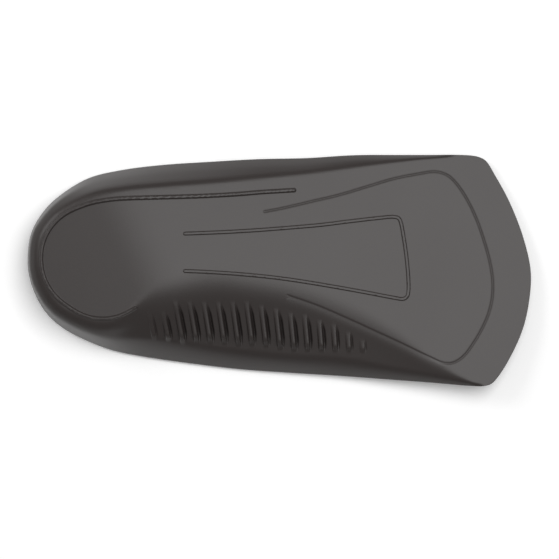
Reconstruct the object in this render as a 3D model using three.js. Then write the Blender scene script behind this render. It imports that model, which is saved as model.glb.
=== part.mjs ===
// Three-quarter length shoe insole, one moulded shell.
//
// Millimetres, +Z up. The insole lies the way it was put down: the side that
// faces the shoe is up, and the side that faces the foot is down, so the heel
// cup opens downwards. +X runs from the heel to the front edge, +Y to the outer
// (little toe) side of the foot, and the arch is on the -Y side. The origin is
// under the middle of the shell, on the surface that it lies on.
//
// Both sides are height fields over the outline. A flat sole plate covers the
// middle, and a wall falls from the edge of the plate to the rim all round the
// heel and along both sides. Sixteen ridges stand on the arch wall.

import * as THREE from 'three';
import { mergeVertices } from 'three/addons/utils/BufferGeometryUtils.js';

// ---------------------------------------------------------------- sizes, mm
const PLATE_HEIGHT = 18.1;      // top of the sole plate at the heel, on the centre line
const SEAT_PITCH = -0.03;       // fall of the heel seat towards the front, mm per mm
const PITCH = 0.094;            // fall of the middle and front towards the front
const ROLL = 0.036;             // fall of the plate towards the outer side
const BEND_FROM = -60;          // the heel seat ends here ...
const BEND_TO = -34;            // ... and the full pitch starts here, both on the centre line
const BEND_SKEW = 0.45;         // the bend lies oblique, earlier on the outer side, x per y
const SEAT_THICKNESS = 4.2;     // shell under the heel
const FRONT_THICKNESS = 3.0;    // shell at the front edge
const THIN_FROM = -30;          // the shell thins from here ...
const THIN_TO = 60;             // ... to here
const RIM_FLAT = 1.8;           // width of the rounded underside of the rim
const WALL_THICKNESS = 2.6;     // extra width of the inner wall over the outer one

// Sections round the rim, from the back of the heel along the outer side, over
// the front edge and back along the arch side.
//   x, y   the outline          wall   width of the wall, rim to plate edge
//   lift   rim above the ground, null where the plate itself is the edge
//   lip    height of the rim's edge
//   round  width of the rounding between plate and wall
//   belly  above 0 the wall steepens towards the rim, below 0 it flares out
//   margin, turn   width and height of the part next to the rim that is turned down
const RIM = [
  { at: 'heel back', x: -95.2, y: 3.9, wall: 5.6, lift: 0, lip: 1.3, round: 2.4, belly: 0.2, margin: 1.4, turn: 11.0 },
  { at: 'heel back, outer', x: -93.7, y: 14.5, wall: 5.9, lift: 0, lip: 1.3, round: 2.6, belly: 0.2, margin: 1.5, turn: 10.6 },
  { at: 'heel corner, outer', x: -88.1, y: 23.6, wall: 6.6, lift: 0, lip: 1.3, round: 2.9, belly: 0.25, margin: 2.0, turn: 9.4 },
  { at: 'heel side, outer', x: -81.1, y: 29.7, wall: 7.6, lift: 0, lip: 1.3, round: 3.1, belly: 0.4, margin: 2.2, turn: 7.0 },
  { at: 'cup side, outer', x: -71.7, y: 35.0, wall: 8.1, lift: 0.2, lip: 1.3, round: 3.0, belly: 0.4, margin: 2.8, turn: 1.4 },
  { at: 'cup, outer', x: -59.6, y: 37.9, wall: 8.5, lift: 0.5, lip: 1.3, round: 2.8, belly: 0.3, margin: 3.4, turn: 1.2 },
  { at: 'cup end, outer', x: -44.4, y: 39.8, wall: 9.0, lift: 0.9, lip: 1.4, round: 2.6, belly: 0.25, margin: 3.6, turn: 0.9 },
  { at: 'waist, outer', x: -26.2, y: 41.0, wall: 8.8, lift: 1.3, lip: 1.5, round: 2.4, belly: 0.2, margin: 3.6, turn: 0.8 },
  { at: 'middle, outer', x: -8.0, y: 42.0, wall: 8.1, lift: 1.5, lip: 1.6, round: 2.2, belly: 0.2, margin: 3.4, turn: 0.8 },
  { at: 'middle front, outer', x: 10.2, y: 42.4, wall: 6.6, lift: 1.3, lip: 1.7, round: 2.0, belly: 0.2, margin: 3.0, turn: 0.7 },
  { at: 'ball, outer', x: 28.3, y: 43.5, wall: 5.3, lift: 0.9, lip: 1.9, round: 1.8, belly: 0.2, margin: 2.4, turn: 0.8 },
  { at: 'ball front, outer', x: 46.5, y: 43.6, wall: 3.0, lift: 0.6, lip: 2.2, round: 1.5, belly: 0.2, margin: 1.6, turn: 0.7 },
  { at: 'wall end, outer', x: 57.9, y: 43.6, wall: 1.7, lift: 0.4, lip: 2.6, round: 1.2, belly: 0.2, margin: 1.2, turn: 0.3 },
  { at: 'plate edge, outer', x: 67.0, y: 43.6, wall: 1.1, lift: null, lip: 3.0, round: 0.9, belly: 0, margin: 1.2, turn: 0 },
  { at: 'corner, outer', x: 73.1, y: 43.3, wall: 1.1, lift: null, lip: 3.0, round: 0.9, belly: 0, margin: 1.2, turn: 0 },
  { at: 'corner turn, outer', x: 76.1, y: 42.6, wall: 1.1, lift: null, lip: 3.0, round: 0.9, belly: 0, margin: 1.2, turn: 0 },
  { at: 'corner end, outer', x: 78.2, y: 41.3, wall: 1.1, lift: null, lip: 3.0, round: 0.9, belly: 0, margin: 1.2, turn: 0 },
  { at: 'front, outer', x: 81.7, y: 35.7, wall: 1.1, lift: null, lip: 3.0, round: 0.9, belly: 0, margin: 1.2, turn: 0 },
  { at: 'front, outer half', x: 86.8, y: 26.3, wall: 1.1, lift: null, lip: 3.0, round: 0.9, belly: 0, margin: 1.2, turn: 0 },
  { at: 'front', x: 92.0, y: 13.0, wall: 1.1, lift: null, lip: 3.0, round: 0.9, belly: 0, margin: 1.2, turn: 0 },
  { at: 'front tip', x: 94.9, y: 0.1, wall: 1.1, lift: null, lip: 3.0, round: 0.9, belly: 0, margin: 1.2, turn: 0 },
  { at: 'front, arch half', x: 94.5, y: -10.1, wall: 1.1, lift: null, lip: 3.0, round: 0.9, belly: 0, margin: 1.2, turn: 0 },
  { at: 'front, arch side', x: 91.8, y: -22.3, wall: 1.1, lift: null, lip: 3.0, round: 0.9, belly: 0, margin: 1.2, turn: 0 },
  { at: 'front end, arch side', x: 86.0, y: -34.6, wall: 1.1, lift: null, lip: 3.0, round: 0.9, belly: 0, margin: 1.2, turn: 0 },
  { at: 'corner end, arch side', x: 81.6, y: -41.1, wall: 1.1, lift: null, lip: 3.0, round: 0.9, belly: 0, margin: 1.2, turn: 0 },
  { at: 'corner turn, arch side', x: 79.6, y: -42.9, wall: 1.1, lift: null, lip: 3.0, round: 0.9, belly: 0, margin: 1.2, turn: 0 },
  { at: 'corner, arch side', x: 77.1, y: -43.6, wall: 1.1, lift: null, lip: 3.0, round: 0.9, belly: 0, margin: 1.2, turn: 0 },
  { at: 'wall end, arch side', x: 70.8, y: -43.5, wall: 2.6, lift: 6.8, lip: 2.8, round: 1.8, belly: 0, margin: 1.4, turn: 0.7 },
  { at: 'ball, arch side', x: 58.7, y: -42.5, wall: 9.5, lift: 5.4, lip: 2.4, round: 5.3, belly: 0, margin: 3.2, turn: 2.2 },
  { at: 'arch end', x: 40.5, y: -41.2, wall: 21.2, lift: 3.1, lip: 2.0, round: 9.2, belly: -0.1, margin: 5.0, turn: 4.0 },
  { at: 'arch front', x: 22.3, y: -39.9, wall: 29.8, lift: 1.2, lip: 1.8, round: 11.0, belly: -0.15, margin: 7.0, turn: 5.6 },
  { at: 'arch', x: 4.1, y: -38.8, wall: 34.9, lift: 0.3, lip: 1.7, round: 11.0, belly: -0.2, margin: 6.8, turn: 6.0 },
  { at: 'arch crown', x: -14.1, y: -37.5, wall: 36.8, lift: 0, lip: 1.6, round: 11.2, belly: -0.2, margin: 7.4, turn: 6.5 },
  { at: 'arch back', x: -32.3, y: -35.4, wall: 36.8, lift: 0, lip: 1.5, round: 13.5, belly: -0.2, margin: 8.0, turn: 7.2 },
  { at: 'arch root', x: -50.5, y: -32.8, wall: 29.0, lift: 0.2, lip: 1.4, round: 15.5, belly: -0.1, margin: 8.0, turn: 7.4 },
  { at: 'cup, arch side', x: -62.6, y: -30.4, wall: 14.6, lift: 0.2, lip: 1.3, round: 6.5, belly: 0.1, margin: 5.2, turn: 6.4 },
  { at: 'cup side, arch side', x: -71.7, y: -27.1, wall: 9.2, lift: 0.1, lip: 1.3, round: 4.0, belly: 0.2, margin: 3.8, turn: 9.2 },
  { at: 'heel side, arch side', x: -80.8, y: -22.5, wall: 7.8, lift: 0, lip: 1.3, round: 3.6, belly: 0.2, margin: 3.2, turn: 10.2 },
  { at: 'heel corner, arch side', x: -86.9, y: -17.6, wall: 6.8, lift: 0, lip: 1.3, round: 3.2, belly: 0.2, margin: 2.5, turn: 11.0 },
  { at: 'heel back, arch side', x: -91.3, y: -11.3, wall: 6.2, lift: 0, lip: 1.3, round: 2.8, belly: 0.2, margin: 1.9, turn: 11.4 },
  { at: 'heel back, centre', x: -94.3, y: -3.5, wall: 5.7, lift: 0, lip: 1.3, round: 2.5, belly: 0.2, margin: 1.5, turn: 11.3 },
];

// Ridges on the arch wall, counted from the heel. Each runs from top (near the
// plate) to foot (near the rim), both as y. The crest is flat and stands higher
// towards the foot, and a groove lies along its front side.
const RIDGE_FIRST_X = -47.2;    // front edge of the first crest, at RIDGE_MIDDLE_Y
const RIDGE_SPACING = 5.25;
const RIDGE_MIDDLE_Y = -20.7;
const RIDGE_HEIGHT = 2.2;       // how far the crest would stand out at its foot
const RIDGE_CREST = 1.35;       // width of the flat crest
const RIDGE_SIDE = 0.45;        // width of the flank on the heel side
const GROOVE_DEPTH = 1.4;       // groove along the front side of each ridge
const GROOVE_NEAR = 0.8;        // its width from the crest to the deepest line ...
const GROOVE_FAR = 0.75;        // ... and on from there
const RIDGE_LEAN_BACK = 0.20;   // x per y along the first ridges ...
const RIDGE_LEAN_FRONT = 0.06;  // ... and along the last ones
const RIDGES = [
  { top: -15.8, foot: -26.2, size: 0.35 },
  { top: -15.6, foot: -26.9, size: 0.75 },
  { top: -11.7, foot: -28.0, size: 0.95 },
  { top: -11.9, foot: -28.0, size: 1 },
  { top: -11.9, foot: -28.0, size: 1 },
  { top: -11.9, foot: -28.3, size: 1 },
  { top: -11.7, foot: -29.0, size: 1 },
  { top: -11.7, foot: -28.8, size: 1 },
  { top: -13.2, foot: -29.3, size: 1 },
  { top: -14.3, foot: -30.2, size: 1 },
  { top: -16.0, foot: -30.8, size: 0.95 },
  { top: -16.6, foot: -30.8, size: 0.9 },
  { top: -18.8, foot: -30.8, size: 0.85 },
  { top: -20.4, foot: -30.8, size: 0.68 },
  { top: -23.3, foot: -30.8, size: 0.48 },
  { top: -26.4, foot: -30.8, size: 0.26 },
];

const CENTRE_BACK = { x: -69.8, y: 3.1 };   // the spine from which the spokes run
const CENTRE_FRONT = { x: 59.5, y: -1.2 };
const HEEL_SPOKES = 22;
const FRONT_SPOKES = 18;
const WALL_RINGS = [1, 0.93, 0.86, 0.8, 0.72, 0.6, 0.48, 0.36, 0.26, 0.16, 0.08, 0];   // rim to plate
const INNER_RINGS = [1, 0.78, 0.54, 0.3, 0.12, 0];
const PLATE_STEPS = 3;

// ------------------------------------------------------------ small helpers
const clamp = (v, lo, hi) => Math.min(hi, Math.max(lo, v));
const mix = (a, b, f) => a + (b - a) * f;
const smooth = (f) => { const s = clamp(f, 0, 1); return s * s * (3 - 2 * s); };

// --------------------------------------------------------- plate and outline
function bendRun(x) {                       // run over which the pitch has acted
  const span = BEND_TO - BEND_FROM;
  if (x <= BEND_FROM) return 0;
  if (x >= BEND_TO) return x - (BEND_FROM + BEND_TO) / 2;
  const s = (x - BEND_FROM) / span;
  return span * (s ** 3 - s ** 4 / 2);
}
const plateTop = (x, y) => PLATE_HEIGHT - SEAT_PITCH * (x - BEND_FROM) - ROLL * y
  - (PITCH - SEAT_PITCH) * bendRun(x + BEND_SKEW * y);
const thickness = (x) =>
  mix(SEAT_THICKNESS, FRONT_THICKNESS, smooth((x - THIN_FROM) / (THIN_TO - THIN_FROM)));

const outlineCurve = new THREE.CatmullRomCurve3(
  RIM.map((row) => new THREE.Vector3(row.x, row.y, 0)), true, 'centripetal');

const rimValue = (row, key) =>
  (key === 'lift' && row.lift === null) ? plateTop(row.x, row.y) - row.lip : row[key];

function rimAt(key, t) {                    // t counts rows round the rim
  const n = RIM.length;
  const i = Math.floor(t);
  const f = t - i;
  const [a, b, c, d] = [-1, 0, 1, 2].map((k) => rimValue(RIM[((i + k) % n + n) % n], key));
  const m1 = (c - a) / 2;
  const m2 = (d - b) / 2;
  const f2 = f * f;
  const f3 = f2 * f;
  return (2 * f3 - 3 * f2 + 1) * b + (f3 - 2 * f2 + f) * m1 + (3 * f2 - 2 * f3) * c + (f3 - f2) * m2;
}

const OUTLINE_SAMPLES = RIM.length * 24;
const outline = [];
for (let i = 0; i < OUTLINE_SAMPLES; i += 1) {
  const p = outlineCurve.getPoint(i / OUTLINE_SAMPLES);
  outline.push({ x: p.x, y: p.y, t: (i / OUTLINE_SAMPLES) * RIM.length });
}

function nearestRim(x, y) {                 // distance to the outline, and where
  let best = { d2: Infinity, t: 0 };
  for (let i = 0; i < OUTLINE_SAMPLES; i += 1) {
    const a = outline[i];
    const b = outline[(i + 1) % OUTLINE_SAMPLES];
    const ex = b.x - a.x;
    const ey = b.y - a.y;
    const f = clamp(((x - a.x) * ex + (y - a.y) * ey) / (ex * ex + ey * ey), 0, 1);
    const d2 = (x - a.x - f * ex) ** 2 + (y - a.y - f * ey) ** 2;
    if (d2 < best.d2) best = { d2, t: a.t + f * RIM.length / OUTLINE_SAMPLES };
  }
  return { d: Math.sqrt(best.d2), t: best.t };
}

// ------------------------------------------------------------------- walls
// Fall of a wall from the plate edge (q = 0) to the rim (q = 1), as a fraction.
// Its slope grows over the rounding, then changes evenly by the belly.
function wallFall(q, rounding, belly) {
  if (q <= 0) return 0;
  const r = clamp(rounding, 0.02, 1);
  const part = (v) => {
    const s = Math.min(v, r);
    const curved = (1 - belly) * s * s / (2 * r) + 2 * belly * s ** 3 / (3 * r);
    return v <= r ? curved : curved + (1 - belly) * (v - r) + belly * (v * v - r * r);
  };
  return part(Math.min(q, 1)) / part(1);
}
const marginFall = (q) => clamp(q, 0, 1) ** 1.5;

function ridgeHeight(x, y) {
  let height = 0;
  RIDGES.forEach((ridge, i) => {
    const along = (y - ridge.top) / (ridge.foot - ridge.top);
    if (along <= 0 || along >= 1) return;
    const lean = mix(RIDGE_LEAN_BACK, RIDGE_LEAN_FRONT, i / (RIDGES.length - 1));
    const off = x - (RIDGE_FIRST_X + i * RIDGE_SPACING - lean * (y - RIDGE_MIDDLE_Y));
    if (Math.abs(off) > RIDGE_SPACING / 2) return;
    const high = RIDGE_HEIGHT * ridge.size * along * smooth((1 - along) / 0.24);
    const deep = GROOVE_DEPTH * ridge.size * Math.min(smooth(along / 0.35), smooth((1 - along) / 0.35));
    const near = GROOVE_NEAR * (0.5 + 0.5 * deep / GROOVE_DEPTH);
    const far = GROOVE_FAR * (0.4 + 0.6 * deep / GROOVE_DEPTH);
    if (off < 0) height = high * clamp(1 + (off + RIDGE_CREST) / RIDGE_SIDE, 0, 1);
    else if (off < near) height = high - (high + deep) * off / near;
    else height = -deep * clamp(1 - (off - near) / far, 0, 1);
  });
  return height;
}

function soleSide(x, y) {                   // the side that faces the shoe
  const { d, t } = nearestRim(x, y);
  const wall = rimAt('wall', t);
  const rimX = outlineCurve.getPoint(((t / RIM.length) % 1 + 1) % 1);
  const turn = Math.max(0, rimAt('turn', t));
  const drop = Math.max(0, plateTop(rimX.x, rimX.y) - rimAt('lift', t) - rimAt('lip', t) - turn);
  return plateTop(x, y)
    - drop * wallFall(1 - d / wall, rimAt('round', t) / wall, rimAt('belly', t))
    - turn * marginFall(1 - d / rimAt('margin', t))
    + ridgeHeight(x, y);
}

function footSide(x, y) {                   // the side that faces the foot
  const { d, t } = nearestRim(x, y);
  const wall = rimAt('wall', t) + WALL_THICKNESS;
  const rim = outlineCurve.getPoint(((t / RIM.length) % 1 + 1) % 1);
  const margin = rimAt('margin', t) + WALL_THICKNESS;
  const turn = Math.max(0, rimAt('turn', t));
  const drop = Math.max(0, plateTop(rim.x, rim.y) - thickness(rim.x) - rimAt('lift', t) - turn);
  return plateTop(x, y) - thickness(x)
    - drop * wallFall(1 - (d - RIM_FLAT) / (wall - RIM_FLAT), 1.6 * rimAt('round', t) / wall, rimAt('belly', t))
    - turn * marginFall(1 - (d - RIM_FLAT) / (margin - RIM_FLAT));
}

// ------------------------------------------------------------------ spokes
// Spokes run from points of the spine to the outline. On the arch side they
// follow the ridges, five to a ridge: its flank, crest and groove.
function reach(from, dir) {                 // where a ray meets the outline
  let best = null;
  for (let i = 0; i < OUTLINE_SAMPLES; i += 1) {
    const a = outline[i];
    const b = outline[(i + 1) % OUTLINE_SAMPLES];
    const ex = b.x - a.x;
    const ey = b.y - a.y;
    const det = dir.x * ey - dir.y * ex;
    if (Math.abs(det) < 1e-12) continue;
    const k = ((a.x - from.x) * ey - (a.y - from.y) * ex) / det;
    const f = ((a.x - from.x) * dir.y - (a.y - from.y) * dir.x) / det;
    if (k > 0 && f >= 0 && f < 1 && (!best || k < best.k)) best = { k, x: a.x + f * ex, y: a.y + f * ey };
  }
  return best;
}

const spine = [CENTRE_BACK.x, -63.5, -57.5, -52.6];
const archStations = [...spine];
RIDGES.forEach((ridge, i) => {
  const crest = RIDGE_FIRST_X + i * RIDGE_SPACING;
  spine.push(crest);
  archStations.push(crest - RIDGE_CREST - RIDGE_SIDE, crest - RIDGE_CREST, crest,
    crest + GROOVE_NEAR, crest + GROOVE_NEAR + GROOVE_FAR);
});
spine.push(36.5, 42.5, 48.5, 54, CENTRE_FRONT.x);
archStations.push(36.5, 42.5, 48.5, 54, CENTRE_FRONT.x);
const spineNear = (x) => spine.reduce((a, b) => (Math.abs(b - x) < Math.abs(a - x) ? b : a));

const spineY = (x) =>
  mix(CENTRE_BACK.y, CENTRE_FRONT.y, (x - CENTRE_BACK.x) / (CENTRE_FRONT.x - CENTRE_BACK.x));
const spokes = [];
const addSpoke = (x, dirX, dirY) => {
  const centre = { x, y: spineY(x) };
  const end = reach(centre, { x: dirX, y: dirY });
  spokes.push({ centre, end: { x: end.x, y: end.y } });
};
const leanAt = (x) => {
  const f = clamp((x - RIDGE_FIRST_X) / (RIDGE_SPACING * (RIDGES.length - 1)), 0, 1);
  const ends = smooth((x - CENTRE_BACK.x) / 18) * smooth((CENTRE_FRONT.x - x) / 18);
  return mix(RIDGE_LEAN_BACK, RIDGE_LEAN_FRONT, f) * ends;
};
// outer side, heel to front
for (const x of spine) addSpoke(x, 0, 1);
// round the front
for (let i = 1; i < FRONT_SPOKES; i += 1) {
  const a = Math.PI / 2 - Math.PI * i / FRONT_SPOKES;
  addSpoke(CENTRE_FRONT.x, Math.cos(a), Math.sin(a));
}
// arch side, front to heel; x is where the spoke crosses the ridges' middle
for (const x of [...archStations].reverse()) {
  const lean = leanAt(x);
  const from = { x: x - lean * (spineY(x) - RIDGE_MIDDLE_Y), y: spineY(x) };
  const end = reach(from, { x: lean, y: -1 });
  const centreX = spineNear(x);
  spokes.push({ centre: { x: centreX, y: spineY(centreX) }, via: from, end: { x: end.x, y: end.y } });
}
// round the heel
for (let i = 1; i < HEEL_SPOKES; i += 1) {
  const a = -Math.PI / 2 - Math.PI * i / HEEL_SPOKES;
  addSpoke(CENTRE_BACK.x, Math.cos(a), Math.sin(a));
}

// -------------------------------------------------------------------- mesh
const positions = [];
const triangles = [];
const vertex = (x, y, z) => { positions.push(x, y, z); return positions.length / 3 - 1; };

function spokeRings(spoke) {
  const { centre, end } = spoke;
  const from = spoke.via ?? centre;
  const length = Math.hypot(end.x - from.x, end.y - from.y);
  const at = (d) => ({ x: mix(end.x, from.x, d / length), y: mix(end.y, from.y, d / length) });
  const { t } = nearestRim(end.x, end.y);
  const wall = Math.min(rimAt('wall', t), length * 0.8);
  const inner = Math.min(wall + WALL_THICKNESS, length * 0.86);
  const lift = rimAt('lift', t);
  const rings = { outer: [], edge: [], inner: [] };
  for (const q of WALL_RINGS) {
    const p = at(wall * (1 - q));
    rings.outer.push([p.x, p.y, soleSide(p.x, p.y)]);
  }
  const plateEdge = at(wall);
  for (let k = 1; k < PLATE_STEPS; k += 1) {
    const p = { x: mix(plateEdge.x, centre.x, k / PLATE_STEPS), y: mix(plateEdge.y, centre.y, k / PLATE_STEPS) };
    rings.outer.push([p.x, p.y, soleSide(p.x, p.y)]);
  }
  rings.edge.push([end.x, end.y, lift + 0.3]);
  const under = at(0.35);
  rings.edge.push([under.x, under.y, lift]);
  for (const q of INNER_RINGS) {
    const p = at(RIM_FLAT + (inner - RIM_FLAT) * (1 - q));
    rings.inner.push([p.x, p.y, footSide(p.x, p.y)]);
  }
  const cupEdge = at(inner);
  for (let k = 1; k < PLATE_STEPS - 1; k += 1) {
    const p = { x: mix(cupEdge.x, centre.x, k / (PLATE_STEPS - 1)), y: mix(cupEdge.y, centre.y, k / (PLATE_STEPS - 1)) };
    rings.inner.push([p.x, p.y, footSide(p.x, p.y)]);
  }
  return rings;
}

const spineTop = new Map();
const spineBottom = new Map();
for (const x of spine) {
  spineTop.set(x, vertex(x, spineY(x), soleSide(x, spineY(x))));
  spineBottom.set(x, vertex(x, spineY(x), footSide(x, spineY(x))));
}

const columns = spokes.map((spoke) => {
  const rings = spokeRings(spoke);
  const list = [spineTop.get(spoke.centre.x)];
  [...rings.outer].reverse().forEach((p) => list.push(vertex(...p)));
  rings.edge.forEach((p) => list.push(vertex(...p)));
  rings.inner.forEach((p) => list.push(vertex(...p)));
  list.push(spineBottom.get(spoke.centre.x));
  return list;
});

function addTriangle(a, b, c) {
  if (a !== b && b !== c && a !== c) triangles.push(a, b, c);
}
columns.forEach((left, i) => {              // spokes run clockwise from above
  const right = columns[(i + 1) % columns.length];
  for (let k = 0; k < left.length - 1; k += 1) {
    addTriangle(left[k], right[k], right[k + 1]);
    addTriangle(left[k], right[k + 1], left[k + 1]);
  }
});

let lowest = Infinity;
for (let i = 2; i < positions.length; i += 3) lowest = Math.min(lowest, positions[i]);
for (let i = 2; i < positions.length; i += 3) positions[i] -= lowest;

const shell = new THREE.BufferGeometry();
shell.setAttribute('position', new THREE.Float32BufferAttribute(positions, 3));
shell.setIndex(triangles);
const shellGeometry = mergeVertices(shell, 1e-4);
shellGeometry.computeVertexNormals();

const insoleBody = new THREE.Mesh(shellGeometry, new THREE.MeshStandardMaterial({
  color: new THREE.Color(0x474341), roughness: 0.62, metalness: 0,
}));
insoleBody.name = 'insole_body';

const insole = new THREE.Group();
insole.add(insoleBody);

export default insole;
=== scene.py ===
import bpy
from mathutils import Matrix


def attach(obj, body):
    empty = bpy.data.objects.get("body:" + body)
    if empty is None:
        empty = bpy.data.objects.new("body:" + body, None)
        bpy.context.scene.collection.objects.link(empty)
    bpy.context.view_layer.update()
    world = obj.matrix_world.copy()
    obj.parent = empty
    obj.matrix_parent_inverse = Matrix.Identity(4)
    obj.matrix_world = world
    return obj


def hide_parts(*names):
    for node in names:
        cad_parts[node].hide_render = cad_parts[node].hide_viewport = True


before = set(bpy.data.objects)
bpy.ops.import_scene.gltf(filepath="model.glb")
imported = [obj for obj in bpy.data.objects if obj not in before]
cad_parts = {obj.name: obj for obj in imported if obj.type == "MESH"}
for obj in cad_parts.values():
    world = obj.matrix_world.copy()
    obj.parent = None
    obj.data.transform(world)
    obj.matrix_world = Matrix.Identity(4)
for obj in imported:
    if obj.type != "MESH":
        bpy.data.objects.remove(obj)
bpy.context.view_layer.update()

import math

import bpy
import numpy as np
from mathutils import Vector
from mathutils.geometry import delaunay_2d_cdt

MM = 0.001

# ------------------------------------------------------------------ camera
# Straight down with a long lens, 559 px across 210.7 mm at the shell's height.
VIEW_WIDTH = 0.2107
CAMERA_HEIGHT = 1.6
VIEW_LEVEL = 0.008
cam_data = bpy.data.cameras.new("camera")
cam_data.sensor_fit = "HORIZONTAL"
cam_data.sensor_width = 36.0
cam_data.lens = 36.0 * (CAMERA_HEIGHT - VIEW_LEVEL) / VIEW_WIDTH
cam_data.clip_end = 20.0
camera = bpy.data.objects.new("camera", cam_data)
bpy.context.scene.collection.objects.link(camera)
camera.location = (0.0001, -0.0035, CAMERA_HEIGHT)
camera.rotation_euler = (0.0, 0.0, 0.0)
bpy.context.scene.camera = camera

# -------------------------------------------------- the shell's sizes, in mm
PLATE_HEIGHT = 18.1
SEAT_PITCH, PITCH = -0.03, 0.094
ROLL = 0.036
BEND_FROM, BEND_TO, BEND_SKEW = -60.0, -34.0, 0.45
SEAT_THICKNESS, FRONT_THICKNESS = 4.2, 3.0
THIN_FROM, THIN_TO = -30.0, 60.0
RIM_FLAT = 1.8
WALL_THICKNESS = 2.6
GROUND_SHIFT = 0.2021        # lifts the lowest point of the rim to the ground

# Sections round the rim: outline x and y, width of the wall, lift of the rim
# (None where the plate is the edge), height of the lip, rounding, belly, and the
# turned-down margin of the wall by its width and height.
RIM_COLUMNS = ("x", "y", "wall", "lift", "lip", "round", "belly", "margin", "turn")
RIM = [
    (-95.2, 3.9, 5.6, 0, 1.3, 2.4, 0.2, 1.4, 11.0),
    (-93.7, 14.5, 5.9, 0, 1.3, 2.6, 0.2, 1.5, 10.6),
    (-88.1, 23.6, 6.6, 0, 1.3, 2.9, 0.25, 2.0, 9.4),
    (-81.1, 29.7, 7.6, 0, 1.3, 3.1, 0.4, 2.2, 7.0),
    (-71.7, 35.0, 8.1, 0.2, 1.3, 3.0, 0.4, 2.8, 1.4),
    (-59.6, 37.9, 8.5, 0.5, 1.3, 2.8, 0.3, 3.4, 1.2),
    (-44.4, 39.8, 9.0, 0.9, 1.4, 2.6, 0.25, 3.6, 0.9),
    (-26.2, 41.0, 8.8, 1.3, 1.5, 2.4, 0.2, 3.6, 0.8),
    (-8.0, 42.0, 8.1, 1.5, 1.6, 2.2, 0.2, 3.4, 0.8),
    (10.2, 42.4, 6.6, 1.3, 1.7, 2.0, 0.2, 3.0, 0.7),
    (28.3, 43.5, 5.3, 0.9, 1.9, 1.8, 0.2, 2.4, 0.8),
    (46.5, 43.6, 3.0, 0.6, 2.2, 1.5, 0.2, 1.6, 0.7),
    (57.9, 43.6, 1.7, 0.4, 2.6, 1.2, 0.2, 1.2, 0.3),
    (67.0, 43.6, 1.1, None, 3.0, 0.9, 0, 1.2, 0),
    (73.1, 43.3, 1.1, None, 3.0, 0.9, 0, 1.2, 0),
    (76.1, 42.6, 1.1, None, 3.0, 0.9, 0, 1.2, 0),
    (78.2, 41.3, 1.1, None, 3.0, 0.9, 0, 1.2, 0),
    (81.7, 35.7, 1.1, None, 3.0, 0.9, 0, 1.2, 0),
    (86.8, 26.3, 1.1, None, 3.0, 0.9, 0, 1.2, 0),
    (92.0, 13.0, 1.1, None, 3.0, 0.9, 0, 1.2, 0),
    (94.9, 0.1, 1.1, None, 3.0, 0.9, 0, 1.2, 0),
    (94.5, -10.1, 1.1, None, 3.0, 0.9, 0, 1.2, 0),
    (91.8, -22.3, 1.1, None, 3.0, 0.9, 0, 1.2, 0),
    (86.0, -34.6, 1.1, None, 3.0, 0.9, 0, 1.2, 0),
    (81.6, -41.1, 1.1, None, 3.0, 0.9, 0, 1.2, 0),
    (79.6, -42.9, 1.1, None, 3.0, 0.9, 0, 1.2, 0),
    (77.1, -43.6, 1.1, None, 3.0, 0.9, 0, 1.2, 0),
    (70.8, -43.5, 2.6, 6.8, 2.8, 1.8, 0, 1.4, 0.7),
    (58.7, -42.5, 9.5, 5.4, 2.4, 5.3, 0, 3.2, 2.2),
    (40.5, -41.2, 21.2, 3.1, 2.0, 9.2, -0.1, 5.0, 4.0),
    (22.3, -39.9, 29.8, 1.2, 1.8, 11.0, -0.15, 7.0, 5.6),
    (4.1, -38.8, 34.9, 0.3, 1.7, 11.0, -0.2, 6.8, 6.0),
    (-14.1, -37.5, 36.8, 0, 1.6, 11.2, -0.2, 7.4, 6.5),
    (-32.3, -35.4, 36.8, 0, 1.5, 13.5, -0.2, 8.0, 7.2),
    (-50.5, -32.8, 29.0, 0.2, 1.4, 15.5, -0.1, 8.0, 7.4),
    (-62.6, -30.4, 14.6, 0.2, 1.3, 6.5, 0.1, 5.2, 6.4),
    (-71.7, -27.1, 9.2, 0.1, 1.3, 4.0, 0.2, 3.8, 9.2),
    (-80.8, -22.5, 7.8, 0, 1.3, 3.6, 0.2, 3.2, 10.2),
    (-86.9, -17.6, 6.8, 0, 1.3, 3.2, 0.2, 2.5, 11.0),
    (-91.3, -11.3, 6.2, 0, 1.3, 2.8, 0.2, 1.9, 11.4),
    (-94.3, -3.5, 5.7, 0, 1.3, 2.5, 0.2, 1.5, 11.3),
]

RIDGE_FIRST_X, RIDGE_SPACING, RIDGE_MIDDLE_Y = -47.2, 5.25, -20.7
RIDGE_HEIGHT, RIDGE_CREST, RIDGE_SIDE = 2.2, 1.35, 0.45
GROOVE_DEPTH, GROOVE_NEAR, GROOVE_FAR = 1.4, 0.8, 0.75
RIDGE_LEAN_BACK, RIDGE_LEAN_FRONT = 0.20, 0.06
# top y, foot y, size
RIDGES = [
    (-15.8, -26.2, 0.35), (-15.6, -26.9, 0.75), (-11.7, -28.0, 0.95),
    (-11.9, -28.0, 1), (-11.9, -28.0, 1), (-11.9, -28.3, 1),
    (-11.7, -29.0, 1), (-11.7, -28.8, 1), (-13.2, -29.3, 1),
    (-14.3, -30.2, 1), (-16.0, -30.8, 0.95), (-16.6, -30.8, 0.9),
    (-18.8, -30.8, 0.85), (-20.4, -30.8, 0.68), (-23.3, -30.8, 0.48),
    (-26.4, -30.8, 0.26),
]

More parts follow.
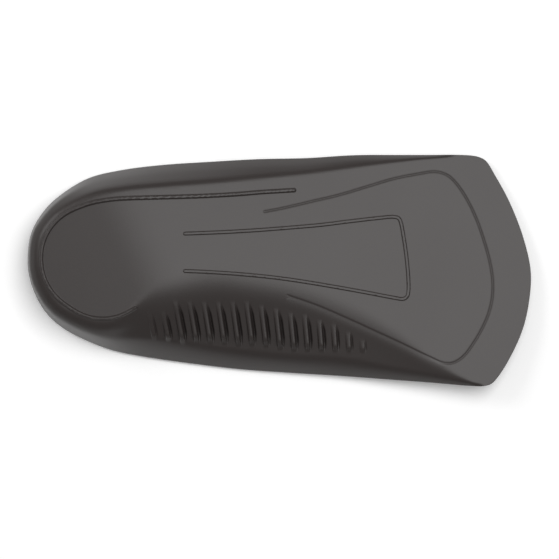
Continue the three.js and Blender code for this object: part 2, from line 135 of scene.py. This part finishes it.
# Moulded lines on the plate, by the knots of their routes (x, y).
HEEL_LINE = [
    (5.6, 30.1), (-5.9, 29.4), (-16.7, 28.5), (-27.5, 27.9), (-38.3, 27.5),
    (-49.1, 27.2), (-59.9, 26.8), (-65.3, 26.2), (-70.4, 25.2), (-75.4, 23.5),
    (-80.2, 21.1), (-84.2, 17.8), (-87.2, 13.4), (-88.9, 8.4), (-89.2, 3.2),
    (-88.3, -1.9), (-86.1, -6.7), (-82.9, -10.6), (-78.9, -13.7), (-74.5, -16.3),
    (-69.5, -17.9), (-64.1, -18.1), (-58.8, -16.8), (-53.8, -14.2),
]
CENTRE_LINE = [
    (-35.3, 13.7), (-30.0, 13.9), (-18.7, 14.4), (-7.4, 15.1), (3.9, 16.0),
    (15.3, 17.0), (26.5, 18.4), (37.8, 19.7), (43.2, 20.1), (45.1, 19.5),
    (45.9, 17.7), (46.8, 12.9), (47.6, 7.5), (48.2, 2.2), (48.6, -3.2), (48.6, -8.0),
    (48.0, -10.0), (46.6, -10.8), (44.0, -10.5), (33.4, -8.5), (22.9, -6.6),
    (12.3, -4.8), (1.7, -3.2), (-8.9, -2.0), (-19.7, -1.1), (-30.3, -0.5),
    (-35.3, -0.3),
]
FRONT_LINE = [
    (-5.6, 22.0), (1.1, 23.3), (11.8, 25.8), (22.3, 28.3), (32.7, 31.4), (43.1, 34.5),
    (53.7, 36.6), (57.6, 37.2), (61.0, 36.9), (64.1, 35.5), (67.2, 32.4),
    (71.0, 26.6), (74.6, 19.0), (77.5, 10.5), (79.5, 3.0), (80.5, -4.0),
    (80.3, -10.5), (78.8, -16.6), (76.2, -22.4), (73.2, -27.4), (70.2, -31.5),
    (67.6, -33.8), (64.8, -35.0), (61.8, -34.9), (55.2, -32.0), (45.2, -27.2),
    (35.0, -22.5), (24.9, -17.9), (14.7, -13.5), (5.4, -10.2), (3.2, -9.5),
]

# ------------------------------------------------------- outline and heights
ROWS = len(RIM)


def bend_run(x):
    span = BEND_TO - BEND_FROM
    s = np.clip((x - BEND_FROM) / span, 0.0, 1.0)
    curve = span * (s ** 3 - s ** 4 / 2)
    return np.where(x >= BEND_TO, x - (BEND_FROM + BEND_TO) / 2, curve)


def plate_top(x, y):
    return (PLATE_HEIGHT + GROUND_SHIFT - SEAT_PITCH * (x - BEND_FROM) - ROLL * y
            - (PITCH - SEAT_PITCH) * bend_run(x + BEND_SKEW * y))


def smooth(f):
    s = np.clip(f, 0.0, 1.0)
    return s * s * (3 - 2 * s)


def thickness(x):
    return SEAT_THICKNESS + (FRONT_THICKNESS - SEAT_THICKNESS) * smooth((x - THIN_FROM) / (THIN_TO - THIN_FROM))


COLUMNS = {name: np.array([0.0 if row[k] is None else row[k] for row in RIM], dtype=float)
           for k, name in enumerate(RIM_COLUMNS)}
for k, row in enumerate(RIM):
    if row[3] is None:
        COLUMNS["lift"][k] = plate_top(row[0], row[1]) - row[4]
    else:
        COLUMNS["lift"][k] = row[3] + GROUND_SHIFT


def rim_at(name, t):
    i = np.floor(t).astype(int)
    f = t - i
    v = COLUMNS[name]
    a, b, c, d = (v[(i + k) % ROWS] for k in (-1, 0, 1, 2))
    m1, m2 = (c - a) / 2, (d - b) / 2
    return (2 * f**3 - 3 * f**2 + 1) * b + (f**3 - 2 * f**2 + f) * m1 + (3 * f**2 - 2 * f**3) * c + (f**3 - f**2) * m2


def centripetal(points, closed, per_span):
    """A centripetal spline through the points, as an array of samples and their row numbers."""
    p = np.array(points, dtype=float)
    n = len(p)
    if closed:
        spans = range(n)
        get = lambda k: p[k % n]
    else:
        spans = range(n - 1)
        get = lambda k: 2 * p[0] - p[1] if k < 0 else (2 * p[-1] - p[-2] if k >= n else p[k])
    out, rows = [], []
    for i in spans:
        p0, p1, p2, p3 = (get(i + k) for k in (-1, 0, 1, 2))
        d0, d1, d2 = (max(1e-6, float(np.sum((b - a) ** 2)) ** 0.25) for a, b in ((p0, p1), (p1, p2), (p2, p3)))
        m1 = ((p1 - p0) / d0 - (p2 - p0) / (d0 + d1) + (p2 - p1) / d1) * d1
        m2 = ((p2 - p1) / d1 - (p3 - p1) / (d1 + d2) + (p3 - p2) / d2) * d1
        for f in np.arange(per_span) / per_span:
            out.append((2 * f**3 - 3 * f**2 + 1) * p1 + (f**3 - 2 * f**2 + f) * m1
                       + (3 * f**2 - 2 * f**3) * p2 + (f**3 - f**2) * m2)
            rows.append(i + f)
    if not closed:
        out.append(p[-1])
        rows.append(n - 1.0)
    return np.array(out), np.array(rows)


def nearest(points, line, closed):
    """Distance from each point to a polyline, the segment and the place on it."""
    a = line if closed else line[:-1]
    b = np.roll(line, -1, axis=0) if closed else line[1:]
    e = b - a
    ee = np.maximum(np.sum(e * e, axis=1), 1e-12)
    dist = np.empty(len(points))
    seg = np.empty(len(points), dtype=int)
    place = np.empty(len(points))
    for s in range(0, len(points), 2000):
        q = points[s:s + 2000]
        dx = q[:, None, 0] - a[None, :, 0]
        dy = q[:, None, 1] - a[None, :, 1]
        f = np.clip((dx * e[:, 0] + dy * e[:, 1]) / ee, 0.0, 1.0)
        d2 = (dx - f * e[:, 0]) ** 2 + (dy - f * e[:, 1]) ** 2
        j = np.argmin(d2, axis=1)
        r = np.arange(len(q))
        dist[s:s + 2000] = np.sqrt(d2[r, j])
        seg[s:s + 2000] = j
        place[s:s + 2000] = f[r, j]
    return dist, seg, place


OUTLINE, OUTLINE_T = centripetal([(r[0], r[1]) for r in RIM], True, 16)


def rim_place(points):
    d, seg, f = nearest(points, OUTLINE, True)
    t = OUTLINE_T[seg] + f * (ROWS / len(OUTLINE))
    nxt = OUTLINE[(seg + 1) % len(OUTLINE)]
    foot = OUTLINE[seg] + f[:, None] * (nxt - OUTLINE[seg])
    return d, t, foot


def wall_fall(q, rounding, belly):
    r = np.clip(rounding, 0.02, 1.0)

    def part(v):
        s = np.minimum(v, r)
        curved = (1 - belly) * s * s / (2 * r) + 2 * belly * s ** 3 / (3 * r)
        return curved + np.where(v > r, (1 - belly) * (v - r) + belly * (v * v - r * r), 0.0)

    return part(np.clip(q, 0.0, 1.0)) / part(np.ones_like(q))


def margin_fall(q):
    return np.clip(q, 0.0, 1.0) ** 1.5


def ridge_height(x, y):
    """Ridges with a flat crest that stands higher towards the foot, and a groove on the front side."""
    height = np.zeros_like(x)
    for i, (top, foot, size) in enumerate(RIDGES):
        along = np.clip((y - top) / (foot - top), 0.0, 1.0)
        lean = RIDGE_LEAN_BACK + (RIDGE_LEAN_FRONT - RIDGE_LEAN_BACK) * i / (len(RIDGES) - 1)
        crest = RIDGE_FIRST_X + i * RIDGE_SPACING - lean * (y - RIDGE_MIDDLE_Y)
        off = x - crest
        high = RIDGE_HEIGHT * size * along * smooth((1 - along) / 0.24)
        deep = GROOVE_DEPTH * size * np.minimum(smooth(along / 0.35), smooth((1 - along) / 0.35))
        near = GROOVE_NEAR * (0.5 + 0.5 * deep / GROOVE_DEPTH)
        far = GROOVE_FAR * (0.4 + 0.6 * deep / GROOVE_DEPTH)
        flank = high * np.clip(1 + (off + RIDGE_CREST) / RIDGE_SIDE, 0.0, 1.0)
        step = high - (high + deep) * np.clip(off / near, 0.0, 1.0)
        back = -deep * np.clip(1 - (off - near) / far, 0.0, 1.0)
        part = np.where(off < 0, flank, np.where(off < near, step, back))
        height = np.where((np.abs(off) < 2.6), part, height)
    return height


# Moulded lines: samples, half width of the crown, width of the flank, height.
def route(knots, step):
    line, _ = centripetal(knots, False, 12)
    run = np.concatenate([[0.0], np.cumsum(np.hypot(*np.diff(line, axis=0).T))])
    n = max(2, int(run[-1] / step) + 1)
    s = np.linspace(0, run[-1], n)
    return np.column_stack([np.interp(s, run, line[:, 0]), np.interp(s, run, line[:, 1])])


LINES = [
    {"line": route(HEEL_LINE, 0.5), "half": 0.60, "flank": 0.50, "height": 0.72},
    {"line": route(CENTRE_LINE, 0.5), "half": 0.54, "flank": 0.36, "height": 0.40},
    {"line": route(FRONT_LINE, 0.5), "half": 0.20, "flank": 1.20, "height": -0.28, "outer": 1.8, "thin": 0.5},
]


def line_relief(points):
    relief = np.zeros(len(points))
    nearest_gap = np.full(len(points), 99.0)
    for item in LINES:
        d, seg, place = nearest(points, item["line"], False)
        shape = smooth((item["half"] + item["flank"] / 2 - d) / item["flank"])
        if "outer" in item:        # along the arch wall: a thin step, gentle on its wall side
            turn_at = int(np.argmin(item["line"][:, 1]))
            late = np.clip((seg - turn_at) / 16.0, 0.0, 1.0)
            a, b = item["line"][seg], item["line"][seg + 1]
            side = (b[:, 0] - a[:, 0]) * (points[:, 1] - a[:, 1]) - (b[:, 1] - a[:, 1]) * (points[:, 0] - a[:, 0])
            past = (seg == len(item["line"]) - 2) & (place >= 1)
            step = smooth((item["half"] + item["thin"] / 2 - d) / item["thin"])
            gentle = np.clip(1 - np.maximum(d - item["half"], 0.0) / item["outer"], 0.0, 1.0)
            step = 0.42 * np.where((side > 0) & ~past, gentle, step)
            shape = shape * (1 - late) + step * late
        relief += item["height"] * shape
        nearest_gap = np.minimum(nearest_gap, d - item["half"])
    return relief, nearest_gap


def sole_side(points, with_lines=True):
    x, y = points[:, 0], points[:, 1]
    d, t, foot = rim_place(points)
    wall = np.maximum(rim_at("wall", t), 0.6)
    turn = np.maximum(0.0, rim_at("turn", t))
    drop = np.maximum(0.0, plate_top(foot[:, 0], foot[:, 1]) - rim_at("lift", t) - rim_at("lip", t) - turn)
    z = plate_top(x, y) - drop * wall_fall(1 - d / wall, rim_at("round", t) / wall, rim_at("belly", t))
    z = z - turn * margin_fall(1 - d / rim_at("margin", t))
    z = z + ridge_height(x, y)
    if with_lines:
        z = z + line_relief(points)[0]
    return z


def foot_side(points):
    x, y = points[:, 0], points[:, 1]
    d, t, foot = rim_place(points)
    wall = rim_at("wall", t) + WALL_THICKNESS
    margin = rim_at("margin", t) + WALL_THICKNESS
    turn = np.maximum(0.0, rim_at("turn", t))
    drop = np.maximum(0.0, plate_top(foot[:, 0], foot[:, 1]) - thickness(foot[:, 0]) - rim_at("lift", t) - turn)
    z = plate_top(x, y) - thickness(x) - drop * wall_fall(
        1 - (d - RIM_FLAT) / (wall - RIM_FLAT), 1.6 * rim_at("round", t) / wall, rim_at("belly", t))
    return z - turn * margin_fall(1 - (d - RIM_FLAT) / (margin - RIM_FLAT))


# ------------------------------------------------------------ sample points
def even_outline(step):
    closed = np.vstack([OUTLINE, OUTLINE[:1]])
    run = np.concatenate([[0.0], np.cumsum(np.hypot(*np.diff(closed, axis=0).T))])
    n = int(run[-1] / step)
    s = np.arange(n) * run[-1] / n
    pts = np.column_stack([np.interp(s, run, closed[:, 0]), np.interp(s, run, closed[:, 1])])
    ahead, behind = np.roll(pts, -1, axis=0), np.roll(pts, 1, axis=0)
    tangent = ahead - behind
    tangent /= np.hypot(tangent[:, 0], tangent[:, 1])[:, None]
    inward = np.column_stack([tangent[:, 1], -tangent[:, 0]])   # the outline runs clockwise
    return pts, inward


EDGE, INWARD = even_outline(0.55)


def offset_rows(depths, keep_every):
    rows = []
    for k, depth in enumerate(depths):
        pts = EDGE + INWARD * depth
        step = keep_every[k] if k < len(keep_every) else keep_every[-1]
        rows.append(pts[(k % 2) * (step // 2)::step])
    return np.vstack(rows)


def hex_grid(step):
    rows = []
    for j, y in enumerate(np.arange(-44, 44.5, step * 0.866)):
        x = np.arange(-96, 96, step) + (step / 2 if j % 2 else 0)
        rows.append(np.column_stack([x, np.full_like(x, y)]))
    return np.vstack(rows)


def line_rows(item):
    line = item["line"]
    tangent = np.gradient(line, axis=0)
    tangent /= np.hypot(tangent[:, 0], tangent[:, 1])[:, None]
    side = np.column_stack([-tangent[:, 1], tangent[:, 0]])
    h, f = item["half"], item["flank"]
    outs = [0.0, h * 0.55, h - f / 2 + 0.02, h, h + f / 2 - 0.02, h + f / 2 + 0.1, h + f / 2 + 0.45]
    if item["height"] < 0:
        outs = [0.0, h * 0.8, h + f * 0.25, h + f / 2, h + f / 2 + 0.4]
    rows = []
    for o in outs:
        rows.append(line + side * o)
        if o > 0:
            rows.append(line - side * o)
    for end, sign in ((0, -1), (-1, 1)):            # round ends
        for o in outs[1:]:
            for a in np.linspace(-1.25, 1.25, 6):
                rows.append((line[end] + sign * tangent[end] * o * math.cos(a) + side[end] * o * math.sin(a))[None, :])
    return np.vstack(rows)


def ridge_rows():
    offs = [-2.4, -1.95, -1.81, -1.69, -1.45, -1.31, -0.7, -0.35, -0.08, 0.06, 0.3, 0.5, 0.7, 0.82, 0.95, 1.15, 1.35, 1.55, 1.7, 2.2]
    rows = []
    for i, (top, foot, size) in enumerate(RIDGES):
        lean = RIDGE_LEAN_BACK + (RIDGE_LEAN_FRONT - RIDGE_LEAN_BACK) * i / (len(RIDGES) - 1)
        n = max(6, int((top - foot) / 0.5))
        for y in np.linspace(top + 0.3, foot - 0.3, n):
            crest = RIDGE_FIRST_X + i * RIDGE_SPACING - lean * (y - RIDGE_MIDDLE_Y)
            rows.append(np.column_stack([crest + np.array(offs), np.full(len(offs), y)]))
    return np.vstack(rows)


def thin_out(points, size):
    """Drops points that fall in a cell already taken, in order of the list."""
    cell = np.round(points / size).astype(np.int64)
    key = cell[:, 0] * 100003 + cell[:, 1]
    _, first = np.unique(key, return_index=True)
    return points[np.sort(first)]


def triangulate(points, ring):
    """Triangles over the points inside the first `ring` points, a closed loop."""
    verts = [Vector((float(x), float(y))) for x, y in points]
    edges = [(i, (i + 1) % ring) for i in range(ring)]
    v, _, faces, _, _, _ = delaunay_2d_cdt(verts, edges, [], 1, 1e-5)
    return np.array([(p.x, p.y) for p in v]), faces


# ---------------------------------------------------------- the sole surface
fine = np.vstack([line_rows(item) for item in LINES])
ridges = ridge_rows()
depths = [0.12, 0.35, 0.7, 1.1, 1.55, 2.05, 2.6, 3.2, 3.9, 4.7, 5.6, 6.6, 7.7, 8.9]
rows = offset_rows(depths, [1, 1, 1, 1, 1, 1, 1, 2, 2, 2, 2, 2, 2, 2])
grid = hex_grid(1.25)

d_rows, _, _ = rim_place(rows)
wanted = np.repeat(depths, [len(EDGE[(k % 2) * ((1 if k < 7 else 2) // 2)::(1 if k < 7 else 2)]) for k in range(len(depths))])
_, gap_rows = line_relief(rows)
rows = rows[(d_rows > wanted * 0.93) & (gap_rows > 0.75)]

d_grid, _, _ = rim_place(grid)
inside = np.zeros(len(grid), dtype=bool)
px, py = grid[:, 0], grid[:, 1]
for i in range(len(OUTLINE)):
    a, b = OUTLINE[i], OUTLINE[(i + 1) % len(OUTLINE)]
    crosses = (a[1] > py) != (b[1] > py)
    where = (b[0] - a[0]) * (py - a[1]) / ((b[1] - a[1]) if b[1] != a[1] else 1e-9) + a[0]
    inside ^= crosses & (px < where)
_, gap_grid = line_relief(grid)
d_ridge = np.full(len(grid), 99.0)
in_ridges = (px > -50.5) & (px < 34.5) & (py < -11.0) & (py > -31.5)
for i, (top, foot, size) in enumerate(RIDGES):
    lean = RIDGE_LEAN_BACK + (RIDGE_LEAN_FRONT - RIDGE_LEAN_BACK) * i / (len(RIDGES) - 1)
    crest = RIDGE_FIRST_X + i * RIDGE_SPACING - lean * (py - RIDGE_MIDDLE_Y)
    near = (np.abs(px - crest) < 3.0) & (py < top + 0.6) & (py > foot - 0.6)
    d_ridge[near] = 0.0
grid_all = grid[inside]
grid_sole = grid[inside & (d_grid > 9.6) & (gap_grid > 0.95) & (d_ridge > 1)]
d_rr, _, _ = rim_place(ridges)
_, gap_rr = line_relief(ridges)
ridges = ridges[(gap_rr > 0.6)]
rows_clear = rows
near_ridge = np.zeros(len(rows), dtype=bool)
for i, (top, foot, size) in enumerate(RIDGES):
    lean = RIDGE_LEAN_BACK + (RIDGE_LEAN_FRONT - RIDGE_LEAN_BACK) * i / (len(RIDGES) - 1)
    crest = RIDGE_FIRST_X + i * RIDGE_SPACING - lean * (rows[:, 1] - RIDGE_MIDDLE_Y)
    near_ridge |= (np.abs(rows[:, 0] - crest) < 3.0) & (rows[:, 1] < top + 0.5) & (rows[:, 1] > foot - 0.5)
rows_clear = rows[~near_ridge]

inner_points = thin_out(np.vstack([fine, ridges, rows_clear, grid_sole]), 0.09)
sole_points = np.vstack([EDGE, inner_points])
sole_xy, sole_faces = triangulate(sole_points, len(EDGE))
sole_z = sole_side(sole_xy)
print("sole side", len(sole_xy), "points", len(sole_faces), "faces")

# ---------------------------------------------------------- the foot surface
FOOT_START = 0.75
foot_ring = EDGE + INWARD * FOOT_START
d_ring, _, _ = rim_place(foot_ring)
foot_rows = offset_rows([1.3, 1.9, 2.6, 3.4, 4.3, 5.3, 6.4, 7.6, 8.9, 10.3, 11.8], [2])
wanted = np.repeat([1.3, 1.9, 2.6, 3.4, 4.3, 5.3, 6.4, 7.6, 8.9, 10.3, 11.8],
                   [len(EDGE[(k % 2)::2]) for k in range(11)])
d_fr, _, _ = rim_place(foot_rows)
foot_rows = foot_rows[d_fr > wanted * 0.93]
foot_grid = hex_grid(1.7)
d_fg, _, _ = rim_place(foot_grid)
inside_f = np.zeros(len(foot_grid), dtype=bool)
fx, fy = foot_grid[:, 0], foot_grid[:, 1]
for i in range(len(OUTLINE)):
    a, b = OUTLINE[i], OUTLINE[(i + 1) % len(OUTLINE)]
    crosses = (a[1] > fy) != (b[1] > fy)
    where = (b[0] - a[0]) * (fy - a[1]) / ((b[1] - a[1]) if b[1] != a[1] else 1e-9) + a[0]
    inside_f ^= crosses & (fx < where)
foot_points = np.vstack([foot_ring, thin_out(np.vstack([foot_rows, foot_grid[inside_f & (d_fg > 12.6)]]), 0.3)])
foot_xy, foot_faces = triangulate(foot_points, len(foot_ring))
foot_z = foot_side(foot_xy)
print("foot side", len(foot_xy), "points", len(foot_faces), "faces")

# ------------------------------------------------------------- rim and mesh
_, edge_t, _ = rim_place(EDGE)
edge_top = sole_side(EDGE, with_lines=False)
ring_low = foot_side(foot_ring)
ROUND = 0.55                                   # rounding under the rim
rim_rows = []
for a in (0.0, 25.0, 50.0, 72.0):              # quarter round from the side to the underside
    c, s = math.cos(math.radians(a)), math.sin(math.radians(a))
    pts = EDGE + INWARD * (ROUND * (1 - c))
    z = ring_low + ROUND * (1 - s)
    rim_rows.append((pts, z))
side_rows = []
gap = edge_top - (ring_low + ROUND)
for f in (0.12, 0.5, 0.88):
    side_rows.append((EDGE, edge_top - gap * f))

verts, faces = [], []
verts.extend(zip(sole_xy[:, 0], sole_xy[:, 1], sole_z))
faces.extend(tuple(f) for f in sole_faces)
n_edge = len(EDGE)
loops = [list(range(n_edge))]
for pts, z in side_rows + rim_rows:
    start = len(verts)
    verts.extend(zip(pts[:, 0], pts[:, 1], z))
    loops.append(list(range(start, start + n_edge)))
start = len(verts)
verts.extend(zip(foot_xy[:, 0], foot_xy[:, 1], foot_z))
loops.append(list(range(start, start + n_edge)))
faces.extend(tuple(reversed([start + i for i in f])) for f in foot_faces)
for upper, lower in zip(loops[:-1], loops[1:]):
    for i in range(n_edge):
        j = (i + 1) % n_edge
        faces.append((upper[i], upper[j], lower[j], lower[i]))

mesh = bpy.data.meshes.new("insole_shell")
mesh.from_pydata([(x * MM, y * MM, z * MM) for x, y, z in verts], [], faces)
mesh.validate()
mesh.update()
insole = bpy.data.objects.new("insole_shell", mesh)
bpy.context.scene.collection.objects.link(insole)

import bmesh
bm = bmesh.new()
bm.from_mesh(mesh)
bmesh.ops.recalc_face_normals(bm, faces=bm.faces)
open_edges = sum(1 for e in bm.edges if len(e.link_faces) != 2)
volume = bm.calc_volume(signed=True)
if volume < 0:
    bmesh.ops.reverse_faces(bm, faces=bm.faces)
bm.to_mesh(mesh)
bm.free()
for poly in mesh.polygons:
    poly.use_smooth = True
print("insole mesh", len(mesh.vertices), "verts", len(mesh.polygons), "faces, open edges", open_edges, "volume cm3", volume * 1e6)

# ---------------------------------------------------------------- material
def foam_material():
    mat = bpy.data.materials.new("moulded_foam")
    mat.use_nodes = True
    nodes, links = mat.node_tree.nodes, mat.node_tree.links
    bsdf = nodes["Principled BSDF"]
    coord = nodes.new("ShaderNodeTexCoord")

    broad = nodes.new("ShaderNodeTexNoise")
    broad.inputs["Scale"].default_value = 28.0
    broad.inputs["Detail"].default_value = 3.0
    links.new(coord.outputs["Object"], broad.inputs["Vector"])
    fine_noise = nodes.new("ShaderNodeTexNoise")
    fine_noise.inputs["Scale"].default_value = 1900.0
    fine_noise.inputs["Detail"].default_value = 2.0
    links.new(coord.outputs["Object"], fine_noise.inputs["Vector"])
    cells = nodes.new("ShaderNodeTexVoronoi")
    cells.inputs["Scale"].default_value = 1500.0
    links.new(coord.outputs["Object"], cells.inputs["Vector"])

    shade = nodes.new("ShaderNodeMix")
    shade.data_type = "RGBA"
    shade.inputs["A"].default_value = (0.0292, 0.0240, 0.0226, 1.0)
    shade.inputs["B"].default_value = (0.0330, 0.0272, 0.0257, 1.0)
    links.new(broad.outputs["Fac"], shade.inputs["Factor"])
    speck = nodes.new("ShaderNodeMapRange")
    speck.inputs["From Min"].default_value = 0.3
    speck.inputs["From Max"].default_value = 0.7
    speck.inputs["To Min"].default_value = 0.96
    speck.inputs["To Max"].default_value = 1.04
    links.new(fine_noise.outputs["Fac"], speck.inputs["Value"])
    tint = nodes.new("ShaderNodeVectorMath")
    tint.operation = "SCALE"
    links.new(shade.outputs["Result"], tint.inputs[0])
    links.new(speck.outputs["Result"], tint.inputs["Scale"])
    links.new(tint.outputs["Vector"], bsdf.inputs["Base Color"])

    rough = nodes.new("ShaderNodeMapRange")
    rough.inputs["To Min"].default_value = 0.36
    rough.inputs["To Max"].default_value = 0.40
    links.new(broad.outputs["Fac"], rough.inputs["Value"])
    links.new(rough.outputs["Result"], bsdf.inputs["Roughness"])

    height = nodes.new("ShaderNodeMath")
    height.operation = "ADD"
    links.new(fine_noise.outputs["Fac"], height.inputs[0])
    links.new(cells.outputs["Distance"], height.inputs[1])
    bump = nodes.new("ShaderNodeBump")
    bump.inputs["Strength"].default_value = 0.10
    bump.inputs["Distance"].default_value = 0.00006
    links.new(height.outputs["Value"], bump.inputs["Height"])
    links.new(bump.outputs["Normal"], bsdf.inputs["Normal"])
    bsdf.inputs["IOR"].default_value = 1.42
    return mat


insole.data.materials.append(foam_material())
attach(insole, "root")
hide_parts("insole_body")

# ------------------------------------------------------------- floor, light
floor_mesh = bpy.data.meshes.new("floor")
floor_mesh.from_pydata([(-3, -3, 0), (3, -3, 0), (3, 3, 0), (-3, 3, 0)], [], [(0, 1, 2, 3)])
floor = bpy.data.objects.new("floor", floor_mesh)
bpy.context.scene.collection.objects.link(floor)
floor_mat = bpy.data.materials.new("floor")
floor_mat.use_nodes = True
fb = floor_mat.node_tree.nodes["Principled BSDF"]
fb.inputs["Base Color"].default_value = (0.97, 0.97, 0.97, 1.0)
fb.inputs["Roughness"].default_value = 0.9
fb.inputs["Specular IOR Level"].default_value = 0.2
fb.inputs["Emission Color"].default_value = (1.0, 1.0, 1.0, 1.0)
fb.inputs["Emission Strength"].default_value = 0.12
floor_mesh.materials.append(floor_mat)


def area_light(name, size, power, place, target=(0.0, 0.0, 0.0), size_y=None):
    data = bpy.data.lights.new(name, "AREA")
    data.shape = "RECTANGLE" if size_y else "SQUARE"
    data.size = size
    if size_y:
        data.size_y = size_y
    data.energy = power
    lamp = bpy.data.objects.new(name, data)
    bpy.context.scene.collection.objects.link(lamp)
    lamp.location = place
    lamp.rotation_euler = (Vector(target) - Vector(place)).to_track_quat("-Z", "Y").to_euler()
    return lamp


area_light("overhead", 1.0, 13.6, (0.37, 0.29, 1.32))
area_light("key", 0.6, 4.8, (-0.90, 0.60, 0.80))

world = bpy.data.worlds.new("studio")
world.use_nodes = True
world.node_tree.nodes["Background"].inputs["Color"].default_value = (1.0, 1.0, 1.0, 1.0)
world.node_tree.nodes["Background"].inputs["Strength"].default_value = 0.26
bpy.context.scene.world = world
bpy.context.scene.view_settings.view_transform = "Standard"
bpy.context.scene.view_settings.look = "None"
bpy.context.scene.view_settings.exposure = 0.0
